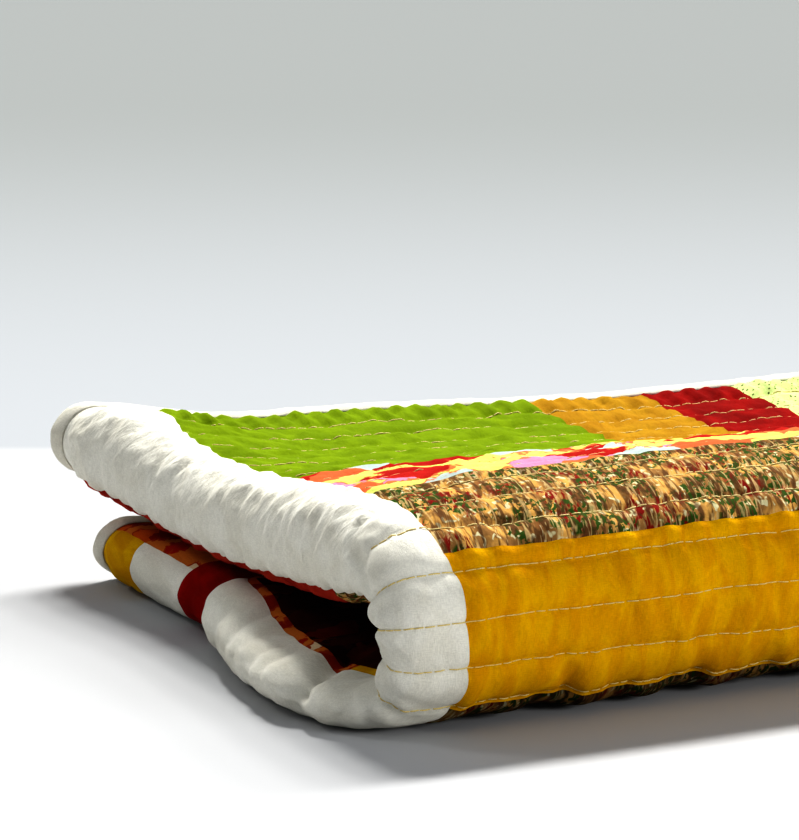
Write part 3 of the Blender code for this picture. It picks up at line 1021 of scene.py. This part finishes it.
def floral(name, ground, outline, tints, size, spread=0.0):
    """Loose blotchy flowers, one tint to a cell, with a ragged outline on the ground."""
    tree = Tree(name)
    warp = tree.add("ShaderNodeTexNoise", {"Vector": tree.scaled(11.0, 11.0), "Scale": 1.0,
                                           "Detail": 2.0})
    warped = tree.add("ShaderNodeVectorMath",
                      {0: warp.outputs["Color"], 1: (0.5, 0.5, 0.0),
                       2: tree.scaled(size * 1.2, size * 0.8)}, operation="MULTIPLY_ADD")
    cells = tree.add("ShaderNodeTexVoronoi", {"Vector": warped.outputs[0], "Scale": 1.0,
                                              "Randomness": 0.95})
    kind = tree.add("ShaderNodeSeparateColor", {"Color": cells.outputs["Color"]})
    colour = linear(*tints[0])
    for index, tint in enumerate(tints[1:], 1):
        at = index / len(tints)
        colour = print_layer(tree, colour, tint, tree.ramp(kind.outputs["Red"], at, at + 0.01))
    ragged = tree.noise(7.0, 7.0, detail=2.0, twist=0.8)
    petal = tree.math("MULTIPLY_ADD", ragged, 0.5, cells.outputs["Distance"])
    petal = tree.math("SUBTRACT", petal, spread)
    colour = print_layer(tree, colour, outline, tree.ramp(petal, 0.66, 0.69))
    colour = print_layer(tree, colour, ground, tree.ramp(petal, 0.72, 0.75))
    return tree.finish(colour, wrinkle=1.3)


def dotted(name, ground, second, tint):
    """Small dark dots in slanted rows, on a ground that wanders to a second colour."""
    tree = Tree(name)
    dots = tree.add("ShaderNodeTexVoronoi", {"Vector": tree.scaled(3.0, 3.0, turn=0.6),
                                             "Scale": 1.0, "Randomness": 0.35})
    share = tree.ramp(dots.outputs["Distance"], 0.24, 0.16)
    patchy = tree.noise(25.0, 25.0, detail=2.0)
    colour = tree.mix(patchy, linear(*ground), linear(*second))
    return tree.finish(print_layer(tree, colour, tint, share))


def thread_material(name, dark, light):
    """Twisted cotton thread with darker strands."""
    tree = Tree(name)
    strand = tree.noise(0.5, 0.25, turn=0.7, detail=1.0)
    colour = tree.mix(tree.ramp(strand, 0.35, 0.65), linear(*dark), linear(*light))
    tree.put(tree.shader.inputs["Base Color"], colour)
    tree.raised(strand, Distance=0.2 * MM)
    tree.shader.inputs["Roughness"].default_value = 0.6
    tree.shader.inputs["Sheen Weight"].default_value = 0.1
    return tree.material


WHITE = (238, 236, 225)
SOFT_WHITE = (229, 226, 213)
materials = {
    "white": plain_cloth("white_cotton", WHITE, SOFT_WHITE, weave=1.3, wrinkle=1.2),
    # Mustard: streaks and upright wander to the second colour are partly dye, partly painted shade
    # of folds.
    "mustard": plain_cloth("mustard_cotton", (228, 174, 0), (216, 154, 0), size=(9.0, 30.0),
                           turn=0.1, streak=0.25, wrinkle=1.8, weave=1.4),
    "brown_print": brown_print("brown_print_cotton"),
    # Copy of the brown print darkened to 0.3 for the roll's underside: painted shade under the
    # roll.
    "under_print_painted_shade": brown_print("under_print_cotton", tone=0.3),
    "floral": floral("floral_cotton", (204, 214, 112), (206, 120, 72),
                     ((166, 30, 22), (206, 140, 172), (206, 112, 66), (174, 34, 26),
                      (178, 192, 188), (204, 104, 62)), size=30.0, spread=0.19),
    "green": plain_cloth("green_cotton", (122, 146, 6), (110, 134, 2), wrinkle=1.4),
    "tan": plain_cloth("tan_cotton", (178, 136, 30), (166, 122, 22), streak=0.4, wrinkle=1.4),
    "red": plain_cloth("dark_red_cotton", (148, 14, 8), (124, 8, 4)),
    "dotted": dotted("dotted_cotton", (210, 220, 156), (200, 226, 132), (76, 96, 44)),
    "yellow": plain_cloth("yellow_cotton", (216, 172, 6), (190, 134, 2)),
    "warm_floral": floral("warm_floral_cotton", (196, 116, 50), (160, 60, 20),
                          ((160, 34, 14), (196, 90, 24), (216, 196, 160), (140, 36, 14)),
                          size=24.0),
    "coral": plain_cloth("coral_cotton", (184, 62, 44), (140, 30, 22)),
    # Warm print deep in the hollow in near-black colours: the print is the cloth's, its darkness
    # is painted shade of the hollow.
    "hollow_print_painted_shade": floral("dark_print_cotton", (60, 20, 10), (36, 10, 6),
                         ((90, 16, 8), (104, 44, 10), (40, 12, 8), (70, 24, 12)), size=22.0),
    "crinkled": plain_cloth("white_cotton_crinkled", WHITE, SOFT_WHITE, weave=0.8, wrinkle=3.2,
                            grain=(9.0, 2.8), folds=(18.0, 6.0)),
    "backing": plain_cloth("inner_cotton", (226, 220, 200), (214, 206, 184)),
}
binding_material = plain_cloth("binding_cotton", (226, 223, 210), (216, 211, 196), weave=1.2)

quilt = quilt_cloth([materials[name] for name in CLOTHS])
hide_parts("quilt_layers")
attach(quilt, "root")

thread = stitches(thread_material("thread", (200, 174, 92), (236, 218, 152)))
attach(thread, "root")

# The side bindings run a little past the end ones.
SIDE_OVERRUN = 1.5
side_along = spaced(-SHEET_END - SIDE_OVERRUN, -LOOP_HALF, BINDING_STEP)
side_along += spaced(-LOOP_HALF, LOOP_HALF, BINDING_STEP)[1:]
side_along += spaced(LOOP_HALF, SHEET_END + SIDE_OVERRUN, BINDING_STEP)[1:]
end_limit = HALF_WIDTH - HEM_WIDTH - BINDING_GAP
end_along = spaced(-end_limit, end_limit, 0.1 * ROW_PITCH)

# Columns: piece, node, places along it, rim, side of the rim, whether it is an end edge.
BINDINGS = (
    ("upper_side_binding", "binding_upper_side", side_along, HALF_WIDTH, 1.0, False),
    ("lower_side_binding", "binding_lower_side", side_along, -HALF_WIDTH, -1.0, False),
    ("outer_end_binding", "binding_outer_end", end_along, SHEET_END, 1.0, True),
    ("inner_end_binding", "binding_inner_end", end_along, -SHEET_END, -1.0, True),
)
bindings = [binding(*row, binding_material) for row in BINDINGS]


# Floor, lights and camera

CAMERA_TURN = math.radians(27.0)
CAMERA_TILT = math.radians(11.9)
CAMERA_PLACE = (-1.1705, -2.0261, 0.5873)
FOCAL_PIXELS = 4600.0
IMAGE_WIDTH = 799.0
SENSOR_WIDTH = 36.0
FAR_CLIP = 50.0

# The floor is painted: white up to an edge behind the quilt, then grey towards the far end.
FLOOR_REACH = 6.0
TABLE_EDGE = 0.377
TABLE_EDGE_SOFT = 0.02
FADE_START = 0.35
FADE_END = 1.9

FLOOR_NEAR = (181, 182, 184)
FLOOR_FAR = (165, 168, 172)
FLOOR_END = (142, 145, 145)


def floor_plane():
    data = bpy.data.meshes.new("floor")
    corners = [(-FLOOR_REACH, -FLOOR_REACH, 0.0), (FLOOR_REACH, -FLOOR_REACH, 0.0),
               (FLOOR_REACH, FLOOR_REACH, 0.0), (-FLOOR_REACH, FLOOR_REACH, 0.0)]
    data.from_pydata(corners, [], [(0, 1, 2, 3)])
    plane = bpy.data.objects.new("floor", data)
    bpy.context.scene.collection.objects.link(plane)
    tree = Tree("floor_paint")
    where = tree.add("ShaderNodeTexCoord").outputs["Object"]
    backwards = (math.sin(CAMERA_TURN), math.cos(CAMERA_TURN), 0.0)
    depth = tree.add("ShaderNodeVectorMath", {0: where, 1: backwards},
                     operation="DOT_PRODUCT").outputs["Value"]
    fade = tree.ramp(depth, FADE_START, FADE_END)
    far = tree.mix(fade, linear(*FLOOR_FAR), linear(*FLOOR_END))
    edge = tree.ramp(depth, TABLE_EDGE - TABLE_EDGE_SOFT, TABLE_EDGE)
    tree.put(tree.shader.inputs["Base Color"], tree.mix(edge, linear(*FLOOR_NEAR), far))
    tree.shader.inputs["Roughness"].default_value = 0.8
    tree.shader.inputs["Specular IOR Level"].default_value = 0.0
    data.materials.append(tree.material)


floor_plane()


def aim(thing, direction):
    thing.rotation_euler = Vector(direction).to_track_quat("-Z", "Y").to_euler()


def add_light(name, kind, direction, place=(0.0, 0.0, 0.0), **settings):
    """Light that shines in the given direction."""
    data = bpy.data.lights.new(name, kind)
    for key, value in settings.items():
        setattr(data, key, value)
    light = bpy.data.objects.new(name, data)
    light.location = place
    aim(light, direction)
    bpy.context.scene.collection.objects.link(light)


# The light from behind is a row of suns, so that it is wide along the quilt and narrow in
# height. Columns: how far to the right, strength.
BACK_LIGHTS = ((-0.8, 0.3), (0.3, 1.8), (0.5, 1.5), (0.75, 1.1), (1.1, 0.65), (1.5, 0.35))
BACK_LIGHT_DEPTH = 0.77
BACK_LIGHT_ANGLE = math.radians(8.0)
WARM = (1.0, 0.985, 0.95)
for number, (aside, strength) in enumerate(BACK_LIGHTS):
    add_light("back_light_" + str(number), "SUN", (-aside, -BACK_LIGHT_DEPTH, -1.0),
              energy=strength, angle=BACK_LIGHT_ANGLE, color=WARM)

FILL_PLACE = Vector((1.2, -2.2, 0.8))
FILL_AIM = Vector((0.0, -0.2, 0.05))
add_light("fill_light", "AREA", FILL_AIM - FILL_PLACE, FILL_PLACE, shape="RECTANGLE",
          size=1.0, size_y=0.5, energy=23.0)

SKY_COLOUR = (0.94, 0.97, 1.0, 1.0)
SKY_STRENGTH = 0.27
world = bpy.data.worlds.new("studio")
world.use_nodes = True
background = world.node_tree.nodes["Background"]
background.inputs["Color"].default_value = SKY_COLOUR
background.inputs["Strength"].default_value = SKY_STRENGTH
bpy.context.scene.world = world
bpy.context.scene.view_settings.view_transform = "Standard"
bpy.context.scene.view_settings.look = "High Contrast"

camera_data = bpy.data.cameras.new("camera")
camera_data.sensor_fit = "HORIZONTAL"
camera_data.sensor_width = SENSOR_WIDTH
camera_data.lens = SENSOR_WIDTH * FOCAL_PIXELS / IMAGE_WIDTH
camera_data.clip_end = FAR_CLIP
camera = bpy.data.objects.new("camera", camera_data)
bpy.context.scene.collection.objects.link(camera)
camera.location = CAMERA_PLACE
aim(camera, (math.sin(CAMERA_TURN) * math.cos(CAMERA_TILT),
             math.cos(CAMERA_TURN) * math.cos(CAMERA_TILT), -math.sin(CAMERA_TILT)))
bpy.context.scene.camera = camera
